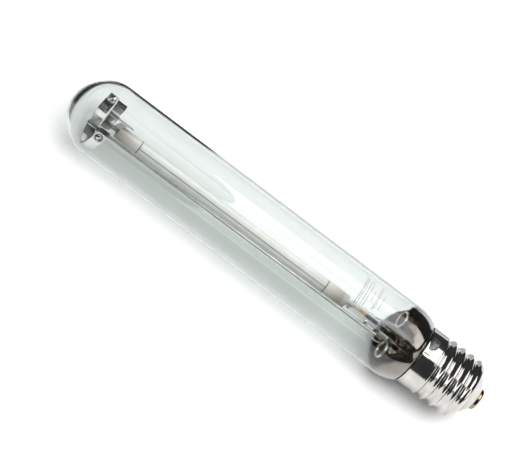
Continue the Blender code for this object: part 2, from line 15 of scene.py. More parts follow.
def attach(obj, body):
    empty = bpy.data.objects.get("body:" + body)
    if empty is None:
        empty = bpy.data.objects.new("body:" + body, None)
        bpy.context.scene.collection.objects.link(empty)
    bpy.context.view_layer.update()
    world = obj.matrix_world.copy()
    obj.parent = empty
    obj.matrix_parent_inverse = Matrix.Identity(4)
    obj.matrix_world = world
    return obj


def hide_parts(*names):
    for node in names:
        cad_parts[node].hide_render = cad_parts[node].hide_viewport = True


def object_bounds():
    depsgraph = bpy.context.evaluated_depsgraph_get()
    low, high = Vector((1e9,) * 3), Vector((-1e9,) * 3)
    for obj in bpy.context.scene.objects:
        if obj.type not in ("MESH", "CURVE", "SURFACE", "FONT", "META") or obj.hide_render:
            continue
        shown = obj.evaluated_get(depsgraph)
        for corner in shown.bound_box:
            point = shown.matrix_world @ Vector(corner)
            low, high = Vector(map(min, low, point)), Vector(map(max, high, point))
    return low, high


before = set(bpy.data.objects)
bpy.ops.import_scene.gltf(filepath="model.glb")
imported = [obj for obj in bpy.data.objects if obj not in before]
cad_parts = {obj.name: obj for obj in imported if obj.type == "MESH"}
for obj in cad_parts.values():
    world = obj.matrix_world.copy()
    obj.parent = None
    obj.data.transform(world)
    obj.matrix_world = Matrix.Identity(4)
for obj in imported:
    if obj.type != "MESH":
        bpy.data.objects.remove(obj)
cad_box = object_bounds()

MM = 0.001
BODY = "root"

# Driving sizes in millimetres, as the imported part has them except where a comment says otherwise
CONTACT_OUT = 1.4
DOME_TIP = (cad_box[1][0] - cad_box[0][0]) / MM - CONTACT_OUT
BULB_R = (cad_box[1][2] - cad_box[0][2]) / MM / 2 - 0.03
GLASS = 1.0
DOME_EXTRA = 1.8        # 0.6 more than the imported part, to darken the dome's edge
BODY_START = 59.0
SHOULDER_ARC = 24.5
SHOULDER_END = 47.0
NECK_R = 15.2
NECK_END = 20.5

PITCH = 6.35
CREST_R = 19.7
ROOT_R = 18.0
THREAD_PHASE = 4.8
SHEET = 0.45
COLLAR_R = 19.1
SHELL_RIM = 45.7
COLLAR_START = 36.0
THREAD_END = 33.4
LIP_TOP = 10.2
LIP_REACH = 6.5
LIP_R = 13.8

SOLDER_TURN = math.radians(55)

ARC_R = 4.2
ARC_WALL = 0.75
ARC_START = 96.4
ARC_END = 263.8
ARC_UP = -0.1
ARC_LEAN = 0.3
ANTENNA_RINGS = (111.9, 248.2)

ROD_R = 1.0
INNER_LEAD = 0.8
OUTER_LEAD = 0.4
ARC_LEAD_PLACE = (0.4, -2.0)        # (up, front) where it leaves the press
FRAME_LEAD_PLACE = (-3.0, 3.0)
SIDE_LEAD_R = 16.75

STRIP_WIDTH = 6.6
STRIP_SHEET = 0.3
SPRING_SHEET = 0.25
DIMPLE_R = 2.75
DIMPLE_HEIGHT = 2.55
SPRING_MIDDLE = 274.6
SPRING_SKEW = -0.12
BRACKET_MIDDLE = 271.25
BRACKET_SKEW = 0.13
STRAP_MIDDLE = 273.4
STRAP_SKEW = -0.05
ARM_MIDDLE = 266.2
ARM_LENGTH = 17.6

GETTER_R = 4.95
GETTER_TILT = 14

GLASS_WAVE = 0.000012               # height of the waves in the glass, in metres

MOUNT_TURN = math.radians(-55)
TURN = Matrix.Rotation(MOUNT_TURN, 3, "X")


# Geometry helpers ----------------------------------------------------------------------------

def spot(reach, up, front):
    """World point of a place inside the lamp, given in millimetres."""
    return TURN @ (Vector((-reach - CONTACT_OUT, -front, up)) * MM)


def lean(reach, up, front):
    """World point of a place on the arc tube, whose axis leans a little."""
    drop = ARC_UP - math.tan(math.radians(ARC_LEAN)) * (reach - ARC_START)
    return spot(reach, up + drop, front)


def finish_piece(thing, material, slot, *nodes):
    """Gives a piece its material and its body and hides the CAD nodes it stands for; slot is not used."""
    thing.data.materials.clear()
    thing.data.materials.append(material)
    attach(thing, BODY)
    if nodes:
        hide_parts(*nodes)
    return thing


def mesh_piece(name, bm, sharp=40):
    """A smooth-shaded mesh object from a bmesh, faces pointing out."""
    bmesh.ops.recalc_face_normals(bm, faces=bm.faces)
    mesh = bpy.data.meshes.new(name)
    bm.to_mesh(mesh)
    bm.free()
    mesh.shade_smooth()
    mesh.set_sharp_from_angle(angle=math.radians(sharp))
    thing = bpy.data.objects.new(name, mesh)
    bpy.context.collection.objects.link(thing)
    return thing


def join_rings(bm, rings, around=True):
    """Bridges rows of vertices with quads."""
    for first, second in zip(rings, rings[1:]):
        count = len(first)
        for i in range(count if around else count - 1):
            j = (i + 1) % count
            bm.faces.new((first[i], first[j], second[j], second[i]))


def smooth_line(points, step):
    """Catmull-Rom curve through points, resampled at about the given step."""
    points = [Vector(p) for p in points]
    ends = [points[0] * 2 - points[1]] + points + [points[-1] * 2 - points[-2]]
    line = [points[0]]
    for i in range(1, len(ends) - 2):
        a, b, c, d = ends[i - 1:i + 3]
        parts = max(1, math.ceil((c - b).length / step))
        for k in range(1, parts + 1):
            t = k / parts
            line.append(0.5 * (2 * b + (c - a) * t + (2 * a - 5 * b + 4 * c - d) * t * t
                               + (3 * b - a - 3 * c + d) * t * t * t))
    return line


def rounded_path(points, radius, steps=5):
    """A path of straight runs with its corners rounded to a radius."""
    points = [Vector(p) for p in points]
    line = [points[0]]
    for before, corner, after in zip(points, points[1:], points[2:]):
        back = before - corner
        ahead = after - corner
        cut = min(radius, back.length * 0.45, ahead.length * 0.45)
        start = corner + back.normalized() * cut
        end = corner + ahead.normalized() * cut
        for k in range(steps + 1):
            t = k / steps
            line.append(start * (1 - t) ** 2 + corner * 2 * t * (1 - t) + end * t * t)
    line.append(points[-1])
    return line


def lathe(name, outline, sides=128, closed=False, place=spot, sharp=40, centre=(0.0, 0.0)):
    """A piece turned about the axis from (reach, radius) points; open outlines end on the axis."""
    bm = bmesh.new()
    rows = outline if closed else outline[1:-1]
    rings = []
    for reach, radius in rows:
        ring = []
        for i in range(sides):
            angle = math.tau * i / sides
            side = (centre[0] + radius * math.cos(angle), centre[1] + radius * math.sin(angle))
            ring.append(bm.verts.new(place(reach, *side)))
        rings.append(ring)
    if closed:
        rings.append(rings[0])
    join_rings(bm, rings)
    if not closed:
        for end, ring in ((outline[0], rings[0]), (outline[-1], rings[-1])):
            tip = bm.verts.new(place(end[0], *centre))
            for i in range(sides):
                bm.faces.new((ring[i], ring[(i + 1) % sides], tip))
    return mesh_piece(name, bm, sharp)


def wire(name, points, radius, sides=16, round_ends=True):
    """A round wire of (reach, up, front) points with slightly rounded cut ends."""
    path = [spot(*p) for p in points]
    size = radius * MM
    tangents = []
    for i in range(len(path)):
        way = path[min(i + 1, len(path) - 1)] - path[max(i - 1, 0)]
        tangents.append(way.normalized())
    side = tangents[0].cross(Vector((0.3, 0.5, 0.8))).normalized()
    stations = []
    for i, here in enumerate(path):
        side = (side - tangents[i] * side.dot(tangents[i])).normalized()
        stations.append((here, side.copy(), tangents[i].cross(side), 1.0))
    if round_ends:
        edge = size * 0.3
        first = stations[0]
        last = stations[-1]
        stations[0] = (first[0] + tangents[0] * edge, first[1], first[2], 1.0)
        stations[-1] = (last[0] - tangents[-1] * edge, last[1], last[2], 1.0)
        stations.insert(0, (first[0] + tangents[0] * edge * 0.3, first[1], first[2], 0.9))
        stations.insert(0, (first[0], first[1], first[2], 0.7))
        stations.append((last[0] - tangents[-1] * edge * 0.3, last[1], last[2], 0.9))
        stations.append((last[0], last[1], last[2], 0.7))
    bm = bmesh.new()
    rings = []
    for here, across, other, share in stations:
        ring = []
        for k in range(sides):
            angle = math.tau * k / sides
            offset = across * math.cos(angle) + other * math.sin(angle)
            ring.append(bm.verts.new(here + offset * size * share))
        rings.append(ring)
    join_rings(bm, rings)
    bm.faces.new(rings[0])
    bm.faces.new(rings[-1])
    return mesh_piece(name, bm, 50)


def sheet_strip(name, line, width, thickness, place, shape=None, across=12, edge=0.08):
    """Sheet metal strip along a line of flat points, thickened and with softened edges.

    place turns (point on the line, distance across) into a world point; shape gives an extra
    push in millimetres along the strip's outward normal at (length along, distance across).
    """
    lengths = [0.0]
    for a, b in zip(line, line[1:]):
        lengths.append(lengths[-1] + (b - a).length)
    bm = bmesh.new()
    rows = []
    for i, here in enumerate(line):
        way = line[min(i + 1, len(line) - 1)] - line[max(i - 1, 0)]
        normal = Vector((way.y, -way.x)).normalized()
        row = []
        for k in range(across + 1):
            side = -width / 2 + width * k / across
            push = shape(lengths[i], side) if shape else 0.0
            row.append(bm.verts.new(place(here + normal * push, side)))
        rows.append(row)
    join_rings(bm, rows, around=False)
    thing = mesh_piece(name, bm, 60)
    solid = thing.modifiers.new("sheet", "SOLIDIFY")
    solid.thickness = thickness * MM
    solid.offset = 0.0
    bevel = thing.modifiers.new("edges", "BEVEL")
    bevel.width = edge * MM
    bevel.segments = 2
    bevel.limit_method = "ANGLE"
    bevel.angle_limit = math.radians(50)
    return thing


def flat_plate(name, corners, front, thickness, edge=0.1):
    """A flat plate with corners of (reach, up) in the plane at that front distance."""
    bm = bmesh.new()
    rings = []
    for side in (front - thickness / 2, front + thickness / 2):
        rings.append([bm.verts.new(spot(reach, up, side)) for reach, up in corners])
    join_rings(bm, rings)
    for ring in rings:
        bm.faces.new(ring)
    thing = mesh_piece(name, bm, 30)
    bevel = thing.modifiers.new("edges", "BEVEL")
    bevel.width = edge * MM
    bevel.segments = 2
    bevel.limit_method = "ANGLE"
    bevel.angle_limit = math.radians(30)
    return thing


def smooth_step(value, low, high):
    share = min(max((value - low) / (high - low), 0.0), 1.0)
    return share * share * (3 - 2 * share)


# Material helpers ----------------------------------------------------------------------------

class Nodes:
    """Small helper that adds linked shader nodes to one material."""

    def __init__(self, name):
        self.material = bpy.data.materials.new(name)
        self.material.use_nodes = True
        self.tree = self.material.node_tree
        self.shader = self.tree.nodes["Principled BSDF"]
        self.output = self.tree.nodes["Material Output"]
        self.place = self.tree.nodes.new("ShaderNodeTexCoord").outputs["Object"]

    def add(self, kind, values=None, links=None):
        node = self.tree.nodes.new(kind)
        for key, value in (values or {}).items():
            if isinstance(key, str) and hasattr(node, key):
                setattr(node, key, value)
            else:
                node.inputs[key].default_value = value
        for key, source in (links or {}).items():
            self.tree.links.new(source, node.inputs[key])
        return node

    def link(self, source, target):
        self.tree.links.new(source, target)

    def stretched(self, scale):
        """Object position scaled by three factors."""
        node = self.add("ShaderNodeVectorMath", {"operation": "MULTIPLY"}, {0: self.place})
        node.inputs[1].default_value = scale
        return node.outputs[0]

    def noise(self, scale, detail=4.0, roughness=0.55, vector=None):
        node = self.add("ShaderNodeTexNoise", {"Scale": scale, "Detail": detail, "Roughness": roughness},
                        {"Vector": vector or self.place})
        return node.outputs["Fac"]

    def ramp(self, source, stops):
        """Colour ramp with stops of (position, colour or grey value)."""
        node = self.add("ShaderNodeValToRGB", None, {"Fac": source})
        ramp = node.color_ramp
        while len(ramp.elements) < len(stops):
            ramp.elements.new(0.5)
        for element, (position, colour) in zip(ramp.elements, stops):
            element.position = position
            if isinstance(colour, (int, float)):
                colour = (colour, colour, colour)
            element.color = (*colour, 1.0)
        return node.outputs["Color"]

    def range(self, source, low, high, start=0.3, end=0.7):
        """Maps a noise value to a range."""
        node = self.add("ShaderNodeMapRange", {"From Min": start, "From Max": end, "To Min": low,
                                               "To Max": high}, {"Value": source})
        return node.outputs["Result"]

    def bump(self, height, strength, distance):
        node = self.add("ShaderNodeBump", {"Strength": strength, "Distance": distance}, {"Height": height})
        return node.outputs["Normal"]


def metal(name, dark, light, rough, grain=900.0, stretch=(1.0, 1.0, 1.0), bump=0.15,
          bump_depth=0.00002, stain=None, metallic=1.0):
    """Metal with mottled tone, uneven polish and fine surface marks.

    rough is the (smooth, dull) range; stretch scales the marks along X, Y and Z.
    """
    n = Nodes(name)
    mottle = n.noise(140.0, 5.0)
    colour = n.ramp(mottle, [(0.3, dark), (0.7, light)])
    if stain:
        spots = n.noise(55.0, 6.0, 0.7)
        amount = n.range(spots, 0.0, 1.0, 0.60, 0.80)
        mix = n.add("ShaderNodeMix", {"data_type": "RGBA"})
        n.link(amount, mix.inputs["Factor"])
        n.link(colour, mix.inputs[6])
        mix.inputs[7].default_value = (*stain, 1.0)
        colour = mix.outputs[2]
    n.link(colour, n.shader.inputs["Base Color"])
    polish = n.noise(260.0, 5.0, 0.6, n.stretched(stretch))
    n.link(n.range(polish, rough[0], rough[1]), n.shader.inputs["Roughness"])
    marks = n.noise(grain, 6.0, 0.65, n.stretched(stretch))
    n.link(n.bump(marks, bump, bump_depth), n.shader.inputs["Normal"])
    n.shader.inputs["Metallic"].default_value = metallic
    return n.material


def matte(name, dark, light, rough, grain=600.0, bump=0.3, bump_depth=0.00006, speckle=None):
    """Ceramic, cement or similar with mottled colour and a fine grain."""
    n = Nodes(name)
    colour = n.ramp(n.noise(220.0, 6.0), [(0.3, dark), (0.7, light)])
    if speckle:
        grit = n.noise(2600.0, 3.0, 0.8)
        mix = n.add("ShaderNodeMix", {"data_type": "RGBA"})
        n.link(n.range(grit, 0.0, 0.7, 0.62, 0.72), mix.inputs["Factor"])
        n.link(colour, mix.inputs[6])
        mix.inputs[7].default_value = (*speckle, 1.0)
        colour = mix.outputs[2]
    n.link(colour, n.shader.inputs["Base Color"])
    n.link(n.range(n.noise(420.0), rough[0], rough[1]), n.shader.inputs["Roughness"])
    n.link(n.bump(n.noise(grain, 6.0, 0.7), bump, bump_depth), n.shader.inputs["Normal"])
    return n.material


def glass(name, tint):
    """Clear glass with slight waves; lamps shine through it so that what it holds is lit."""
    n = Nodes(name)
    shader = n.shader
    shader.inputs["Base Color"].default_value = (*tint, 1.0)
    shader.inputs["Roughness"].default_value = 0.0
    shader.inputs["IOR"].default_value = 1.48
    shader.inputs["Transmission Weight"].default_value = 1.0
    flow = n.noise(38.0, 2.0, 0.5, n.stretched((0.35, 1.0, 1.0)))
    n.link(n.bump(flow, 0.12, GLASS_WAVE), shader.inputs["Normal"])
    clear = n.add("ShaderNodeBsdfTransparent", {"Color": (*[math.sqrt(v) for v in tint], 1.0)})
    path = n.add("ShaderNodeLightPath")
    mix = n.add("ShaderNodeMixShader")
    n.link(path.outputs["Is Shadow Ray"], mix.inputs[0])
    n.link(shader.outputs[0], mix.inputs[1])
    n.link(clear.outputs[0], mix.inputs[2])
    n.link(mix.outputs[0], n.output.inputs["Surface"])
    return n.material


def tinted_lead(name):
    """Lead rod run from bright through straw and copper to blue by the welding heat."""
    n = Nodes(name)
    split = n.add("ShaderNodeSeparateXYZ", None, {"Vector": n.place})
    ends = [-(reach + CONTACT_OUT) * MM for reach in (92.0, 62.0)]
    along = n.add("ShaderNodeMapRange", {"From Min": ends[0], "From Max": ends[1]},
                  {"Value": split.outputs["X"]}).outputs["Result"]
    drift = n.add("ShaderNodeMath", {"operation": "MULTIPLY_ADD", 1: 0.08, 2: -0.04}, {0: n.noise(900.0)})
    total = n.add("ShaderNodeMath", {"operation": "ADD"}, {0: along, 1: drift.outputs[0]})
    tint = n.ramp(total.outputs[0], [(0.0, (0.62, 0.60, 0.56)), (0.12, (0.66, 0.58, 0.45)),
                                     (0.20, (0.70, 0.42, 0.20)), (0.32, (0.72, 0.36, 0.14)),
                                     (0.35, (0.05, 0.07, 0.16)), (0.60, (0.06, 0.08, 0.15)),
                                     (0.64, (0.55, 0.54, 0.52)), (0.85, (0.60, 0.56, 0.50)),
                                     (0.92, (0.78, 0.34, 0.12))])
    n.link(tint, n.shader.inputs["Base Color"])
    n.shader.inputs["Metallic"].default_value = 1.0
    n.link(n.range(n.noise(500.0), 0.12, 0.28), n.shader.inputs["Roughness"])
    n.link(n.bump(n.noise(1500.0, 5.0), 0.2, 0.00002), n.shader.inputs["Normal"])
    return n.material


def getter_film(name):
    """Dark barium mirror, solid where the mesh's cover value is high and smoky at its edge."""
    n = Nodes(name)
    tone = n.ramp(n.noise(90.0, 5.0), [(0.3, (0.17, 0.135, 0.11)), (0.7, (0.28, 0.235, 0.20))])
    n.link(tone, n.shader.inputs["Base Color"])
    n.shader.inputs["Metallic"].default_value = 1.0
    n.link(n.range(n.noise(300.0), 0.05, 0.12), n.shader.inputs["Roughness"])
    n.link(n.bump(n.noise(500.0, 4.0), 0.1, 0.00001), n.shader.inputs["Normal"])
    cover = n.add("ShaderNodeAttribute", {"attribute_name": "cover"}).outputs["Fac"]
    smoke = n.noise(420.0, 6.0, 0.65)
    wisp = n.add("ShaderNodeMath", {"operation": "MULTIPLY_ADD", 1: 0.5, 2: -0.25}, {0: smoke})
    total = n.add("ShaderNodeMath", {"operation": "ADD"}, {0: cover, 1: wisp.outputs[0]})
    amount = n.add("ShaderNodeMapRange", {"From Min": 0.15, "From Max": 0.85, "To Min": 0.0,
                                          "To Max": 1.0, "interpolation_type": "SMOOTHSTEP"},
                   {"Value": total.outputs[0]})
    n.link(amount.outputs["Result"], n.shader.inputs["Alpha"])
    return n.material


def worn_ink(name):
    """Thin fired print, patchy where it has rubbed."""
    n = Nodes(name)
    n.link(n.ramp(n.noise(900.0), [(0.3, (0.09, 0.07, 0.06)), (0.7, (0.18, 0.14, 0.12))]),
           n.shader.inputs["Base Color"])
    n.shader.inputs["Roughness"].default_value = 0.6
    n.link(n.range(n.noise(1500.0, 5.0, 0.7), 0.45, 0.95, 0.35, 0.6), n.shader.inputs["Alpha"])
    n.link(n.bump(n.noise(2500.0), 0.2, 0.00002), n.shader.inputs["Normal"])
    return n.material


def arc_ceramic(name):
    """Translucent sintered alumina, greyer at its ends where the plugs fill it: painted shade for the plugs
    and electrodes seen through the wall.
    """
    n = Nodes(name)
    split = n.add("ShaderNodeSeparateXYZ", None, {"Vector": n.place})
    along = n.add("ShaderNodeMapRange", {"From Min": -ARC_END * MM, "From Max": -ARC_START * MM},
                  {"Value": split.outputs["X"]}).outputs["Result"]
    length = ARC_END - ARC_START
    # Painted shade: the ramp below darkens the tube's ends, most over the plug length and fading out beyond
    # it, for the plugs and electrodes inside dimming the light through the wall.
    plug = 5.5 / length
    shade_fade_end = 15.0 / length
    body = (0.70, 0.695, 0.67)
    shade = n.ramp(along, [(0.0, (0.34, 0.31, 0.28)), (plug, (0.46, 0.43, 0.40)), (shade_fade_end, (0.64, 0.63, 0.60)),
                           (0.2, body), (0.8, body), (1 - shade_fade_end, (0.58, 0.56, 0.53)),
                           (1 - plug, (0.36, 0.30, 0.26)), (1 - plug * 0.7, (0.42, 0.40, 0.38)),
                           (1.0, (0.36, 0.36, 0.35))])
    cloud = n.ramp(n.noise(160.0, 5.0), [(0.3, 0.9), (0.7, 1.0)])
    tone = n.add("ShaderNodeMix", {"data_type": "RGBA", "blend_type": "MULTIPLY", "Factor": 1.0})
    n.link(shade, tone.inputs[6])
    n.link(cloud, tone.inputs[7])
    n.link(tone.outputs[2], n.shader.inputs["Base Color"])
    n.shader.inputs["Subsurface Weight"].default_value = 0.5
    n.shader.inputs["Subsurface Radius"].default_value = (1.0, 0.95, 0.9)
    n.shader.inputs["Subsurface Scale"].default_value = 0.002
    n.shader.inputs["Coat Weight"].default_value = 0.25
    n.shader.inputs["Coat Roughness"].default_value = 0.2
    n.link(n.range(n.noise(700.0), 0.30, 0.42), n.shader.inputs["Roughness"])
    n.link(n.bump(n.noise(1800.0, 5.0), 0.15, 0.00002), n.shader.inputs["Normal"])
    return n.material


MATERIALS = {
    # The grey in these glass tints is painted shade, far darker than clear glass, for the shaded backdrop
    # seen through the bulb; the faint green is the glass's own.
    "glass": glass("clear_bulb_glass", (0.865, 0.89, 0.878)),
    "stem": glass("stem_glass", (0.86, 0.89, 0.87)),
    "nickel": metal("bright_nickel_plate", (0.46, 0.445, 0.42), (0.60, 0.585, 0.555), (0.06, 0.15),
                    stain=(0.50, 0.46, 0.40)),
    "insulator": matte("grey_insulator", (0.50, 0.495, 0.47), (0.62, 0.61, 0.58), (0.32, 0.5),
                       speckle=(0.36, 0.34, 0.31)),
    "brass": metal("contact_brass", (0.24, 0.17, 0.11), (0.42, 0.31, 0.20), (0.08, 0.18),
                   stain=(0.35, 0.22, 0.12)),
    "solder": metal("lumpy_solder", (0.09, 0.09, 0.095), (0.24, 0.24, 0.245), (0.36, 0.6), grain=1200.0,
                    bump=0.6, bump_depth=0.0001),
    "cement": matte("basing_cement", (0.50, 0.44, 0.36), (0.66, 0.60, 0.50), (0.75, 0.95), bump=0.6),
    "copper": metal("copper_wire", (0.55, 0.30, 0.18), (0.76, 0.47, 0.32), (0.15, 0.32),
                    stain=(0.22, 0.20, 0.26)),
    "tinted": tinted_lead("heat_tinted_lead"),
    "steel": metal("bright_drawn_steel", (0.56, 0.56, 0.55), (0.74, 0.735, 0.72), (0.10, 0.22),
                   stretch=(0.05, 1.0, 1.0), bump=0.25),
    "spring": metal("polished_spring_strip", (0.62, 0.62, 0.61), (0.78, 0.78, 0.77), (0.05, 0.14),
                    stretch=(1.0, 0.12, 0.12)),
    "bracket": metal("rolled_strip", (0.50, 0.50, 0.49), (0.68, 0.675, 0.66), (0.12, 0.26),
                     stretch=(0.2, 1.0, 1.0), stain=(0.38, 0.34, 0.31)),
    "sleeve": matte("dark_sleeve", (0.055, 0.06, 0.08), (0.12, 0.135, 0.17), (0.16, 0.3), bump=0.15),
    "alumina": arc_ceramic("translucent_alumina"),
    "plug": matte("stained_plug", (0.32, 0.29, 0.25), (0.48, 0.45, 0.41), (0.45, 0.6)),
    "niobium": metal("drawn_niobium", (0.38, 0.37, 0.36), (0.56, 0.55, 0.53), (0.22, 0.38),
                     stretch=(0.1, 1.0, 1.0)),
    "tungsten": metal("dark_tungsten", (0.14, 0.14, 0.15), (0.28, 0.28, 0.30), (0.3, 0.5)),
    "track": metal("sintered_track", (0.07, 0.068, 0.075), (0.15, 0.145, 0.15), (0.4, 0.6), bump=0.4,
                   metallic=0.4),
    "getter": metal("fired_getter_ring", (0.42, 0.40, 0.38), (0.66, 0.64, 0.61), (0.2, 0.4),
                    stain=(0.28, 0.22, 0.20)),
    "film": getter_film("barium_mirror"),
    "ink": worn_ink("worn_print"),
}


# Bulb ------------------------------------------------------------------------------------------

def bulb_outline(inset, dome_steps, shoulder_steps):
    """Outline of one face of the glass from the dome's tip to the neck's end."""
    radius = BULB_R - inset
    extra = DOME_EXTRA * min(inset, GLASS) / GLASS
    centre = DOME_TIP - BULB_R
    points = []
    for i in range(dome_steps + 1):
        angle = math.pi / 2 * i / dome_steps
        thick = extra * math.cos(angle) ** 0.9
        points.append((centre + (radius - thick) * math.cos(angle), (radius - thick * 0.8) * math.sin(angle)))
    arc = SHOULDER_ARC - inset
    for i in range(41):
        points.append((centre + (BODY_START - centre) * (i + 0.5) / 41.5, radius))
    for i in range(shoulder_steps + 1):
        back = (BODY_START - SHOULDER_END) * i / shoulder_steps
        points.append((BODY_START - back, radius - arc + math.sqrt(arc * arc - back * back)))
    neck = NECK_R - inset
    step = points[-1][1]
    slope = 0.4 * inset
    bend = [(SHOULDER_END, step), (SHOULDER_END - 0.7 + slope, step - 1.2),
            (SHOULDER_END - 1.0 + slope, neck + 2.4), (SHOULDER_END - 1.8 + slope, neck + 1.2),
            (SHOULDER_END - 5.0, neck)]
    points += [tuple(p) for p in smooth_line(bend, 0.3)[1:]]
    points.append((NECK_END, neck))
    return points


def make_bulb():
    outer = bulb_outline(0.0, 48, 24)
    inner = bulb_outline(GLASS, 48, 24)
    bulb = lathe("bulb", outer + inner[::-1], sides=192, sharp=89)
    finish_piece(bulb, MATERIALS["glass"], "clear_glass", "outer_bulb")


def make_print():
    """Plain rows of short worn dashes on the glass near the cap, in place of the maker's print."""
    rows = ((96.8, 38.0, 82.0, 0.55), (95.6, 38.0, 82.0, 0.4), (93.6, 37.0, 80.0, 0.4),
            (91.8, 37.0, 80.0, 0.35), (89.0, 52.0, 68.0, 0.35), (86.2, 37.0, 78.0, 0.35),
            (85.2, 37.0, 74.0, 0.3), (82.6, 48.0, 70.0, 0.35))
    lengths = (3.1, 1.7, 2.4, 4.2, 1.3, 2.9, 2.0, 3.6, 1.5)
    radius = BULB_R + 0.01
    bm = bmesh.new()
    count = 0
    for reach, first, last, height in rows:
        turn = first
        while turn < last:
            length = lengths[count % len(lengths)]
            count += 1
            strips = []
            for side in (-height / 2, height / 2):
                strip = []
                for k in range(5):
                    angle = math.radians(turn + length * k / 4)
                    place = (reach + side, radius * math.cos(angle), radius * math.sin(angle))
                    strip.append(bm.verts.new(spot(*place)))
                strips.append(strip)
            join_rings(bm, strips, around=False)
            turn += length + 1.1
    marks = mesh_piece("print_dashes", bm, 89)
    finish_piece(marks, MATERIALS["ink"], "track")


def film_cover(reach, angle):
    """How solid the getter mirror is; the angle runs from above towards the front."""
    back = max(0.0, -math.sin(angle))
    front = max(0.0, math.sin(angle))
    low = max(0.0, -math.cos(angle))
    edge = 61.0 + 8.0 * back ** 4 - 8.0 * front ** 4 + 3.0 * low ** 2 * back
    drift = noise.noise(Vector((math.cos(angle) * 2.2, math.sin(angle) * 2.2, reach * 0.05)))
    fine = noise.noise(Vector((math.cos(angle) * 7.0, math.sin(angle) * 7.0, reach * 0.2)))
    edge += 1.8 * drift + 0.5 * fine
    soft = 1.6 + 3.2 * low
    return smooth_step(edge + soft - reach, 0.0, 2 * soft)


def make_film():
    """Mirror film a hair inside the glass, from the neck's end to past the shoulder."""
    outline = [p for p in bulb_outline(GLASS + 0.06, 48, 24) if 41.0 < p[0] < 59.5]
    outline = [(59.0 + 16.0 * i / 24, BULB_R - GLASS - 0.06) for i in range(24, 0, -1)] + outline
    sides = 192
    bm = bmesh.new()
    layer = bm.verts.layers.float.new("cover")
    rings = []
    for reach, radius in outline:
        ring = []
        for i in range(sides):
            angle = math.tau * i / sides
            vert = bm.verts.new(spot(reach, radius * math.cos(angle), radius * math.sin(angle)))
            vert[layer] = film_cover(reach, angle)
            ring.append(vert)
        rings.append(ring)
    join_rings(bm, rings)
    film = mesh_piece("getter_mirror", bm, 89)
    finish_piece(film, MATERIALS["film"], "getter")


# Screw cap ---------------------------------------------------------------------------------------

def shell_radius(reach, angle):
    """Radius of the rolled thread's outer face; the angle runs from above towards the front."""
    middle = (CREST_R + ROOT_R) / 2
    depth = (CREST_R - ROOT_R) / 2
    turns = (reach - THREAD_PHASE) / PITCH + angle / math.tau
    window = smooth_step(reach, LIP_TOP - 1.5, LIP_TOP + 2.0)
    window *= 1 - smooth_step(reach, THREAD_END, COLLAR_START)
    wave = depth * math.cos(math.tau * turns) * window
    return middle + (COLLAR_R - middle) * smooth_step(reach, THREAD_END, COLLAR_START) + wave


def shell_marks(reach, angle):
    """Small presses and handling dents in the collar, in millimetres."""
    push = 0.06 * smooth_step(reach, 44.6, 45.3)
    slit_turn = math.radians(80)
    across = (angle - slit_turn) * COLLAR_R
    if 40.8 < reach < 45.0 and abs(across) < 1.2:
        end = smooth_step(reach, 40.8, 41.6)
        push -= 0.28 * end * math.exp(-(across / 0.32) ** 2)
    around = Vector((math.cos(angle) * 3.0, math.sin(angle) * 3.0, reach * 0.12))
    return push + 0.03 * noise.noise(around)


def make_shell():
    sides = 220
    lip_steps = 16
    row_step = 0.25
    thread_rows = round((SHELL_RIM - 0.3 - LIP_TOP) / row_step)
    bm = bmesh.new()
    walls = []
    for inset in (0.0, SHEET):
        rows = []
        for i in range(lip_steps):
            turn = math.pi / 2 * i / lip_steps
            rows.append((LIP_TOP - (LIP_TOP - LIP_REACH - inset) * math.cos(turn), math.sin(turn)))
        rows += [(LIP_TOP + row_step * i, 1.0) for i in range(thread_rows + 1)]
        rim = rows[-1][0]
        rows += [(rim + 0.18, 1.0), (SHELL_RIM, 1.0)]
        wall = []
        for number, (reach, share) in enumerate(rows):
            pinch = 0.12 if number == len(rows) - 1 else 0.0
            pinch = pinch if inset == 0.0 else -pinch
            ring = []
            for i in range(sides):
                angle = math.tau * i / sides
                full = shell_radius(reach, angle) - inset + shell_marks(reach, angle) - pinch
                radius = LIP_R + (full - LIP_R) * share
                ring.append(bm.verts.new(spot(reach, radius * math.cos(angle), radius * math.sin(angle))))
            wall.append(ring)
        walls.append(wall)
    outer, inner = walls
    join_rings(bm, outer + inner[::-1] + [outer[0]])
    shell = mesh_piece("screw_shell_plated", bm, 75)
    finish_piece(shell, MATERIALS["nickel"], "nickel_plate", "screw_shell")


def make_cap_pieces():
    face = 1.5
    bore = 3.4
    outline = [(face, bore), (face, 8.0), (1.6, 8.25), (1.8, 8.6), (3.2, 10.5), (4.4, 12.0), (5.6, 13.2),
               (6.1, 13.35), (7.3, 13.3), (8.9, 15.2), (11.0, 16.6), (13.0, 16.6), (13.0, bore)]
    cone = lathe("insulator_cone", outline, closed=True)
    finish_piece(cone, MATERIALS["insulator"], "insulator", "cap_insulator")

    outline = [(0.0, 0.0), (0.0, 2.4), (0.0, 5.5), (0.12, 6.1), (0.4, 6.55), (0.8, 6.85), (1.3, 7.0),
               (2.35, 7.0), (2.55, 6.92), (2.6, 6.7), (2.6, 3.0), (9.0, 3.0), (9.0, 0.0)]
    outline = [(reach - CONTACT_OUT, radius) for reach, radius in outline]
    contact = lathe("contact_button", outline)
    finish_piece(contact, MATERIALS["brass"], "contact_brass", "centre_contact")

    outline = [(24.0, NECK_R + 0.3), (24.0, 16.2), (40.0, 16.2), (40.0, NECK_R + 0.3)]
    ring = lathe("cement_ring", outline, sides=96, closed=True)
    finish_piece(ring, MATERIALS["cement"], "cement", "basing_cement")


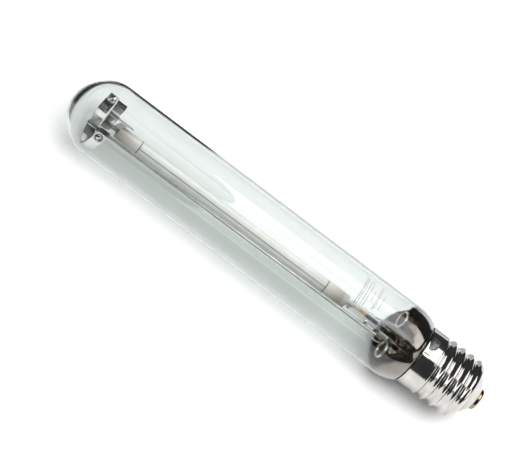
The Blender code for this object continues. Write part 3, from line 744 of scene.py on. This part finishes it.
def make_side_solder():
    """Uneven drop of solder run down the collar from the rim."""
    bm = bmesh.new()
    bmesh.ops.create_icosphere(bm, subdivisions=5, radius=1.0)
    for vert in bm.verts:
        p = vert.co.copy()
        rough = noise.noise(p * 1.3) * 0.30 + noise.noise(p * 3.5 + Vector((4, 1, 7))) * 0.16
        p *= 1.0 + rough
        along = p.x * 2.9
        across = p.y * 3.9 * (1.0 + 0.15 * p.x)
        lift = max(p.z, -0.5) * 0.62
        angle = SOLDER_TURN + across / COLLAR_R
        radius = COLLAR_R + 0.30 + lift
        vert.co = spot(SHELL_RIM - 3.4 + along, radius * math.cos(angle), radius * math.sin(angle))
    drop = mesh_piece("solder_drop", bm, 80)
    finish_piece(drop, MATERIALS["solder"], "solder", "side_solder")


# Stem, leads and getters -------------------------------------------------------------------------

def make_stem():
    """Flare and tube that flatten into the press, lofted as one glass body."""
    centre = Vector((-1.3, 0.5))
    slant = math.atan2(5.0, -3.4)
    sides = 96

    def section(reach, radius, flat):
        """A ring that turns from round (flat 0) into the flattened press (flat 1)."""
        ring = []
        for i in range(sides):
            angle = math.tau * i / sides
            wide = radius + (6.0 - radius) * flat
            thin = radius + (2.5 - radius) * flat
            power = 1.0 - 0.42 * flat
            fold = 1.0 + 0.035 * flat * math.sin(7 * angle + 0.35 * reach)
            wide *= fold
            thin *= fold
            c, s = math.cos(angle), math.sin(angle)
            x = wide * math.copysign(abs(c) ** power, c)
            y = thin * math.copysign(abs(s) ** power, s)
            up = centre.x * flat + x * math.cos(slant) - y * math.sin(slant)
            front = centre.y * flat + x * math.sin(slant) + y * math.cos(slant)
            ring.append((reach, up, front))
        return ring

    flare = NECK_END - 0.3
    outer = [(flare, NECK_R - GLASS), (24.0, 10.5), (29.0, 8.1), (36.0, 6.5)]
    outer = [tuple(p) for p in smooth_line(outer, 0.8)]
    rows = [section(reach, radius, 0.0) for reach, radius in outer]
    for i in range(1, 25):
        reach = 36.0 + (71.1 - 36.0) * i / 24
        rows.append(section(reach, 6.5, smooth_step(reach, 50.0, 60.5)))
    rows.append(section(71.4, 6.35, 1.0))
    inner = [(36.0, 5.4), (29.0, 6.8), (23.0, 9.0), (flare - 1.1, NECK_R - GLASS)]
    inner = [tuple(p) for p in smooth_line(inner, 0.8)]
    hollow = [section(55.5, 3.4, 0.35), section(53.5, 4.7, 0.2), section(50.0, 5.4, 0.0)]
    hollow += [section(reach, radius, 0.0) for reach, radius in inner]
    bm = bmesh.new()
    rings = [[bm.verts.new(spot(*p)) for p in row] for row in rows]
    cavity = [[bm.verts.new(spot(*p)) for p in row] for row in hollow]
    join_rings(bm, rings)
    join_rings(bm, cavity)
    join_rings(bm, [cavity[-1], rings[0]])
    bm.faces.new(rings[-1])
    bm.faces.new(cavity[0])
    stem = mesh_piece("stem_and_press", bm, 50)
    finish_piece(stem, MATERIALS["stem"], "clear_glass", "stem_glass")

    outline = [(55.2, 0.0), (55.2, 1.5), (30.0, 1.5), (28.0, 1.2), (27.2, 0.6), (27.0, 0.0)]
    pump = lathe("pumping_tube", outline, sides=40, centre=(2.9, 1.6))
    finish_piece(pump, MATERIALS["stem"], "clear_glass", "exhaust_tube")


def make_leads():
    arc = ARC_LEAD_PLACE
    frame_side = FRAME_LEAD_PLACE
    path = smooth_line([(63.8, *arc), (73.0, *arc), (82.4, *arc), (87.5, 0.4, -0.4), (91.0, 0.2, 0.0)], 1.0)
    lead = wire("arc_lead_rod", path, INNER_LEAD, sides=24)
    finish_piece(lead, MATERIALS["tinted"], "coppered_lead", "arc_tube_lead")

    joint = (-4.05, 4.6)
    path = smooth_line([(63.8, *frame_side), (72.0, *frame_side), (75.0, *joint), (79.5, *joint)], 0.7)
    lead = wire("frame_lead_rod", path, INNER_LEAD, sides=24)
    finish_piece(lead, MATERIALS["steel"], "bright_steel", "frame_lead")

    path = smooth_line([(63.5, *arc), (30.0, *arc), (17.0, 0.0, 0.0), (9.3, 0.0, 0.0)], 1.5)
    lead = wire("contact_wire", path, OUTER_LEAD, sides=12)
    finish_piece(lead, MATERIALS["copper"], "lead_wire", "centre_contact_lead")

    over = (SIDE_LEAD_R * math.cos(SOLDER_TURN), SIDE_LEAD_R * math.sin(SOLDER_TURN))
    path = [(63.5, *frame_side), (26.0, *frame_side), (17.6, 1.5, 4.5)]
    path += [(16.6, 0.8 * over[0], 0.8 * over[1]), (19.0, *over), (43.6, *over)]
    lead = wire("side_wire", rounded_path(path, 1.2), OUTER_LEAD * 0.75, sides=12)
    finish_piece(lead, MATERIALS["copper"], "lead_wire", "side_contact_lead")

    rings = ((73.8, *ARC_LEAD_PLACE), (81.6, *ARC_LEAD_PLACE))
    bm = bmesh.new()
    rows = []
    profile = [(0.0, 0.9), (0.0, 1.05), (0.02, 1.15), (0.98, 1.15), (1.0, 1.05), (1.0, 0.9)]
    for share, radius in profile:
        reach, up, front = Vector(rings[0]).lerp(Vector(rings[1]), share)
        row = []
        for i in range(32):
            angle = math.tau * i / 32
            side = (up + radius * math.cos(angle), front + radius * math.sin(angle))
            row.append(bm.verts.new(spot(reach, *side)))
        rows.append(row)
    join_rings(bm, rows + [rows[0]])
    sleeve = mesh_piece("insulating_sleeve", bm)
    finish_piece(sleeve, MATERIALS["sleeve"], "sleeve", "lead_sleeve")


def make_getters():
    for label, place in (("front", (64.6, -9.8, 9.0)), ("rear", (64.0, 10.9, 3.0))):
        turn = Matrix.Rotation(math.radians(GETTER_TILT), 3, "Z")
        profile = [(-0.5, -0.55), (-0.3, -0.62), (0.5, -0.62), (0.6, -0.5), (0.5, -0.42), (-0.15, -0.42),
                   (-0.22, -0.3), (-0.22, 0.3), (-0.15, 0.42), (0.5, 0.42), (0.6, 0.5), (0.5, 0.62),
                   (-0.3, 0.62), (-0.5, 0.55)]
        bm = bmesh.new()
        rings = []
        for i in range(72):
            angle = math.tau * i / 72
            ring = []
            for depth, out in profile:
                radius = GETTER_R + out
                local = turn @ Vector((depth, -radius * math.sin(angle), radius * math.cos(angle)))
                ring.append(bm.verts.new(spot(*place) + TURN @ (local * MM)))
            rings.append(ring)
        join_rings(bm, rings + [rings[0]])
        ring = mesh_piece("getter_channel_" + label, bm, 40)
        finish_piece(ring, MATERIALS["getter"], "getter", "getter_ring_" + label)
    routes = {"front": [(66.6, -7.2, 4.9), (70.0, -8.2, 3.4), (75.2, -5.9, 3.6)],
              "rear": [(65.6, 5.7, 1.6), (70.0, 4.3, 0.6), (76.6, 2.6, -1.3)]}
    for label, route in routes.items():
        leg = wire("getter_leg_" + label, smooth_line(route, 0.8), 0.4, sides=14)
        finish_piece(leg, MATERIALS["steel"], "bright_steel", "getter_wire_" + label)


# Arc tube ----------------------------------------------------------------------------------------

def make_arc_tube():
    bore = ARC_R - ARC_WALL
    outline = [(ARC_START, bore), (ARC_START, ARC_R - 0.15), (ARC_START + 0.15, ARC_R)]
    outline += [(ARC_START + (ARC_END - ARC_START) * i / 40, ARC_R) for i in range(1, 40)]
    outline += [(ARC_END - 0.15, ARC_R), (ARC_END, ARC_R - 0.15), (ARC_END, bore)]
    tube = lathe("ceramic_arc_tube", outline, sides=72, closed=True, place=lean)
    finish_piece(tube, MATERIALS["alumina"], "arc_ceramic", "arc_tube")
    for label, mouth, tail, inward in (("cap_side", ARC_START, 91.3, 1), ("dome_side", ARC_END, 267.6, -1)):
        make_arc_tube_end(label, mouth, tail, inward)
    make_track()


def make_arc_tube_end(label, mouth, tail, inward):
    out = ARC_R - ARC_WALL - 0.3
    far = mouth + inward * 5.0
    near = mouth + inward * 0.3
    outline = [(near, 1.25), (near, out - 0.2), (near + inward * 0.2, out), (far, out), (far, 1.25)]
    plug = lathe("sealing_plug_" + label, outline, sides=56, closed=True, place=lean)
    finish_piece(plug, MATERIALS["plug"], "end_plug", "end_plug_" + label)

    top = mouth + inward * 5.8
    outline = [(top, 0.0), (top, 0.95), (top - inward * 0.15, 1.1), (tail + inward * 0.1, 1.1),
               (tail, 1.0), (tail, 0.6), (top - inward * 1.2, 0.6), (top - inward * 1.2, 0.0)]
    feed = lathe("feed_tube_" + label, outline, sides=40, place=lean)
    finish_piece(feed, MATERIALS["niobium"], "niobium", "niobium_tube_" + label)

    base = top + inward * 0.3
    outline = [(base, 0.0), (base, 0.45), (base + inward * 9.2, 0.45), (base + inward * 9.3, 0.3),
               (base + inward * 9.3, 0.0)]
    shank = lathe("electrode_shank_" + label, outline, sides=20, place=lean)
    finish_piece(shank, MATERIALS["tungsten"], "tungsten", "electrode_" + label)
    coil = [lean(base + inward * (3.2 + 4.8 * i / 140), 0.78 * math.cos(i * 0.36), 0.78 * math.sin(i * 0.36))
            for i in range(141)]
    # The points keep CONTACT_OUT when they are turned back, so the coil sits that much nearer the dome
    back = TURN.inverted()
    route = []
    for point in coil:
        local = back @ point
        route.append((-local.x / MM, local.z / MM, -local.y / MM))
    winding = wire("electrode_coil_" + label, route, 0.3, sides=8)
    finish_piece(winding, MATERIALS["tungsten"], "tungsten", "electrode_" + label)


def make_track():
    """Starting conductor printed on the ceramic: a band near each end and a straight line."""
    inner = ARC_R + 0.012
    outer = ARC_R + 0.07
    bands = []
    for reach in ANTENNA_RINGS:
        bands.append([(reach - 0.32, inner), (reach - 0.28, outer), (reach + 0.28, outer),
                      (reach + 0.32, inner)])
    for label, outline in zip(("cap_side", "dome_side"), bands):
        band = lathe("track_band_" + label, outline, sides=72, closed=True, place=lean)
        finish_piece(band, MATERIALS["track"], "track", "ignition_antenna")
    bm = bmesh.new()
    rows = []
    steps = 60
    for i in range(steps + 1):
        reach = ANTENNA_RINGS[0] + (ANTENNA_RINGS[1] - ANTENNA_RINGS[0]) * i / steps
        row = []
        for radius, turn in ((inner, 98.5), (outer, 99.5), (outer, 102.5), (inner, 103.5)):
            angle = math.radians(turn)
            row.append(bm.verts.new(lean(reach, radius * math.cos(angle), radius * math.sin(angle))))
        rows.append(row)
    join_rings(bm, rows)
    bm.faces.new(rows[0])
    bm.faces.new(rows[-1])
    line = mesh_piece("track_line", bm, 40)
    finish_piece(line, MATERIALS["track"], "track", "ignition_antenna")


# Frame, springs and bracket ------------------------------------------------------------------------

def make_frame():
    rod = wire("side_rod", [(72.2, -5.3, 6.5), (140.0, -5.75, 6.5), (210.0, -6.2, 6.5), (283.0, -6.7, 6.5)],
               ROD_R, sides=40)
    finish_piece(rod, MATERIALS["steel"], "bright_steel", "frame_rod")

    corners = [(-1.5, -3.2), (-1.5, 4.9), (-4.6, 5.15)]
    link = sheet_strip("rod_link", rounded_path(corners, 0.5), 1.9, 0.3, strip_place(81.1, 0.0), across=4)
    finish_piece(link, MATERIALS["bracket"], "bright_steel", "frame_link")

    corners = [(92.2, -1.5), (95.6, -1.5), (95.6, -1.95), (94.4, -1.95), (94.1, -3.0), (93.4, -3.0),
               (93.1, -1.95), (92.2, -1.95)]
    strap = flat_plate("feed_strap", corners, 0.0, 2.4)
    finish_piece(strap, MATERIALS["steel"], "bright_steel", "cap_side_strap")


def strip_place(middle, skew):
    """Places a strip's (up, front) points, its width running along the lamp."""
    def place(point, side):
        return spot(middle + side + skew * point.y, point.x, point.y)
    return place


def make_spring():
    """Bent spring strip with two dimples pressed outwards against the glass."""
    corners = [(15.0, -13.3), (11.4, -16.0), (4.2, -19.0), (-7.8, -16.4), (-14.0, -10.8), (-18.2, -4.0),
               (-19.4, 1.5), (-17.6, 8.0), (-13.6, 13.4), (-7.4, 17.4), (-4.6, 18.6)]
    line = rounded_path(corners, 1.4, steps=4)
    fine = []
    for a, b in zip(line, line[1:]):
        parts = max(1, math.ceil((b - a).length / 0.3))
        fine += [a.lerp(b, k / parts) for k in range(parts)]
    fine.append(line[-1])
    lengths = [0.0]
    for a, b in zip(fine, fine[1:]):
        lengths.append(lengths[-1] + (b - a).length)
    dimples = []
    for seat in (Vector((11.7, -14.3)), Vector((-10.6, 15.6))):
        nearest = min(range(len(fine)), key=lambda i: (fine[i] - seat).length)
        dimples.append(lengths[nearest])

    def shape(along, side):
        """Height of the round dimples."""
        push = 0.0
        for middle in dimples:
            gap = math.hypot(along - middle, side)
            if gap < DIMPLE_R:
                push = max(push, DIMPLE_HEIGHT * (1.0 - (gap / DIMPLE_R) ** 2) ** 0.6)
        return push

    place = strip_place(SPRING_MIDDLE, SPRING_SKEW)
    band = sheet_strip("spring_band", fine, STRIP_WIDTH, SPRING_SHEET, place, shape, across=26)
    finish_piece(band, MATERIALS["spring"], "spring_steel", "dome_spring")


def make_bracket():
    corners = [(13.5, 12.5), (6.2, 16.8), (3.7, 15.7), (3.9, 7.0), (5.2, -2.5), (-1.0, -1.9),
               (-1.0, 3.0), (-4.6, 4.9), (-8.4, 4.9)]
    place = strip_place(BRACKET_MIDDLE, BRACKET_SKEW)
    bracket = sheet_strip("arc_tube_bracket", rounded_path(corners, 0.7), STRIP_WIDTH, STRIP_SHEET, place)
    finish_piece(bracket, MATERIALS["bracket"], "bracket_steel", "dome_bracket")

    corners = [(-8.0, 8.05), (-5.4, 8.05), (-5.4, 17.3)]
    place = strip_place(STRAP_MIDDLE, STRAP_SKEW)
    strap = sheet_strip("band_strap", rounded_path(corners, 0.6), STRIP_WIDTH, STRIP_SHEET, place)
    finish_piece(strap, MATERIALS["spring"], "spring_steel", "spring_strap")

    corners = [(6.0, -2.5), (5.4, 2.0), (4.75, 6.5)]
    place = strip_place(ARM_MIDDLE, 0.0)
    arm = sheet_strip("support_arm", [Vector(p) for p in corners], ARM_LENGTH, 0.35, place)
    finish_piece(arm, MATERIALS["bracket"], "bracket_steel", "bracket_arm")

    corners = [(266.0, 4.3), (261.0, 4.3), (264.6, 1.2), (265.3, -0.6), (270.9, -0.6), (270.9, 0.3),
               (268.4, 0.3)]
    clip = flat_plate("tube_clip", corners, 5.2, 0.35)
    finish_piece(clip, MATERIALS["bracket"], "bracket_steel", "support_clip")

    path = smooth_line([(267.9, 0.0, 0.0), (270.5, 0.1, 0.0), (273.0, 0.2, 0.0)], 0.6)
    flex = wire("flex_lead", path, 0.45)
    finish_piece(flex, MATERIALS["steel"], "bright_steel", "dome_flex_lead")


# Studio ----------------------------------------------------------------------------------------------

CAMERA_RISE = math.radians(55)      # above the horizon, square to the lamp
CAMERA_LEAN = math.radians(10)      # towards the dome end
LAMP_FALL = math.radians(36.98)     # slope of the lamp's axis across the picture
CAMERA_DISTANCE = 6.0
FRAME_WIDTH = 516 / 1.727 * MM      # width of the view at the lamp
SENSOR = 36.0


def make_camera():
    axis = Vector((1.0, 0.0, 0.0))
    view = Vector((-math.sin(CAMERA_LEAN), -math.cos(CAMERA_LEAN) * math.cos(CAMERA_RISE),
                   math.cos(CAMERA_LEAN) * math.sin(CAMERA_RISE)))
    along = (axis - view * axis.dot(view)).normalized()
    across = view.cross(along)
    right = along * math.cos(LAMP_FALL) + across * math.sin(LAMP_FALL)
    up = across * math.cos(LAMP_FALL) - along * math.sin(LAMP_FALL)
    target = spot(160.3, -1.49, 0.0)
    data = bpy.data.cameras.new("camera")
    data.sensor_width = SENSOR
    data.lens = SENSOR * CAMERA_DISTANCE / FRAME_WIDTH
    data.clip_end = 50.0
    camera = bpy.data.objects.new("camera", data)
    turn = Matrix((right, up, view)).transposed()
    camera.matrix_world = Matrix.Translation(target + view * CAMERA_DISTANCE) @ turn.to_4x4()
    bpy.context.collection.objects.link(camera)
    bpy.context.scene.camera = camera


def floor_material():
    n = Nodes("studio_floor")
    colour = n.ramp(n.noise(3.0, 3.0), [(0.3, (0.86, 0.86, 0.86)), (0.7, (0.88, 0.88, 0.88))])
    n.link(colour, n.shader.inputs["Base Color"])
    n.shader.inputs["Roughness"].default_value = 0.9
    n.shader.inputs["Specular IOR Level"].default_value = 0.1
    return n.material


def make_floor():
    bpy.ops.mesh.primitive_plane_add(size=8.0, location=(0.0, 0.0, cad_box[0][2] - 0.0001))
    floor = bpy.context.object
    floor.name = "floor"
    floor.data.materials.append(floor_material())


def area_light(name, place, target, size, power, seen=True):
    """Rectangular soft light; an unseen one lights surfaces without showing in reflections."""
    data = bpy.data.lights.new(name, "AREA")
    data.shape = "RECTANGLE"
    data.size, data.size_y = size
    data.energy = power
    lamp = bpy.data.objects.new(name, data)
    lamp.location = place
    aim = Vector(target) - Vector(place)
    lamp.rotation_euler = aim.to_track_quat("-Z", "Y").to_euler()
    bpy.context.collection.objects.link(lamp)
    if not seen:
        lamp.visible_glossy = False
        lamp.visible_transmission = False
    return lamp


def edge_card(name, near, far, tone):
    """A card on the floor beside the lamp, seen only through and in the glass, that draws its edges."""
    height = cad_box[0][2] + 0.0005
    bm = bmesh.new()
    corners = ((near[0], near[1]), (far[0], near[1]), (far[0], far[1]), (near[0], far[1]))
    bm.faces.new([bm.verts.new((x, y, height)) for x, y in corners])
    mesh = bpy.data.meshes.new(name)
    bm.to_mesh(mesh)
    bm.free()
    card = bpy.data.objects.new(name, mesh)
    bpy.context.collection.objects.link(card)
    n = Nodes(name)
    n.link(n.ramp(n.noise(8.0), [(0.3, tone), (0.7, tone)]), n.shader.inputs["Base Color"])
    n.shader.inputs["Roughness"].default_value = 0.9
    n.shader.inputs["Specular IOR Level"].default_value = 0.0
    mesh.materials.append(n.material)
    card.visible_camera = False
    card.visible_diffuse = False
    card.visible_shadow = False


def make_lights():
    area_light("overhead_softbox", (0.52, 0.10, 0.80), (0.52, 0.10, 0.0), (1.15, 0.75), 7.4)
    area_light("floor_fill", (-0.15, 0.0, 1.6), (-0.15, 0.0, 0.0), (3.2, 3.2), 48.0, seen=False)
    area_light("right_card", (1.1, -0.3, 0.35), (0.0, 0.0, 0.0), (0.5, 0.5), 1.2)
    area_light("left_card", (-0.9, -0.5, 0.45), (-0.05, 0.0, 0.0), (0.35, 0.8), 1.8)
    area_light("dome_reflector", (-0.20, -0.10, 0.80), (-0.27, 0.0, 0.0), (0.50, 0.70), 1.5)
    edge_card("dome_end_card", (-0.52, 0.01), (-0.303, 0.40), (0.01, 0.01, 0.011))
    edge_card("dome_fade_card", (-0.52, -0.006), (-0.303, 0.01), (0.16, 0.16, 0.165))
    edge_card("dome_end_fade_card", (-0.52, -0.02), (-0.303, -0.006), (0.42, 0.42, 0.425))
    edge_card("far_dome_card", (-0.303, 0.058), (-0.20, 0.40), (0.01, 0.01, 0.011))
    edge_card("far_side_card", (-0.20, 0.060), (0.0, 0.40), (0.45, 0.45, 0.45))
    world = bpy.data.worlds.new("studio")
    world.use_nodes = True
    world.node_tree.nodes["Background"].inputs["Color"].default_value = (0.05, 0.052, 0.055, 1.0)
    bpy.context.scene.world = world


def build():
    make_camera()
    make_bulb()
    make_film()
    make_print()
    make_shell()
    make_cap_pieces()
    make_side_solder()
    make_stem()
    make_leads()
    make_getters()
    make_arc_tube()
    make_frame()
    make_spring()
    make_bracket()
    make_floor()
    make_lights()
    bpy.context.scene.view_settings.view_transform = "Standard"


build()
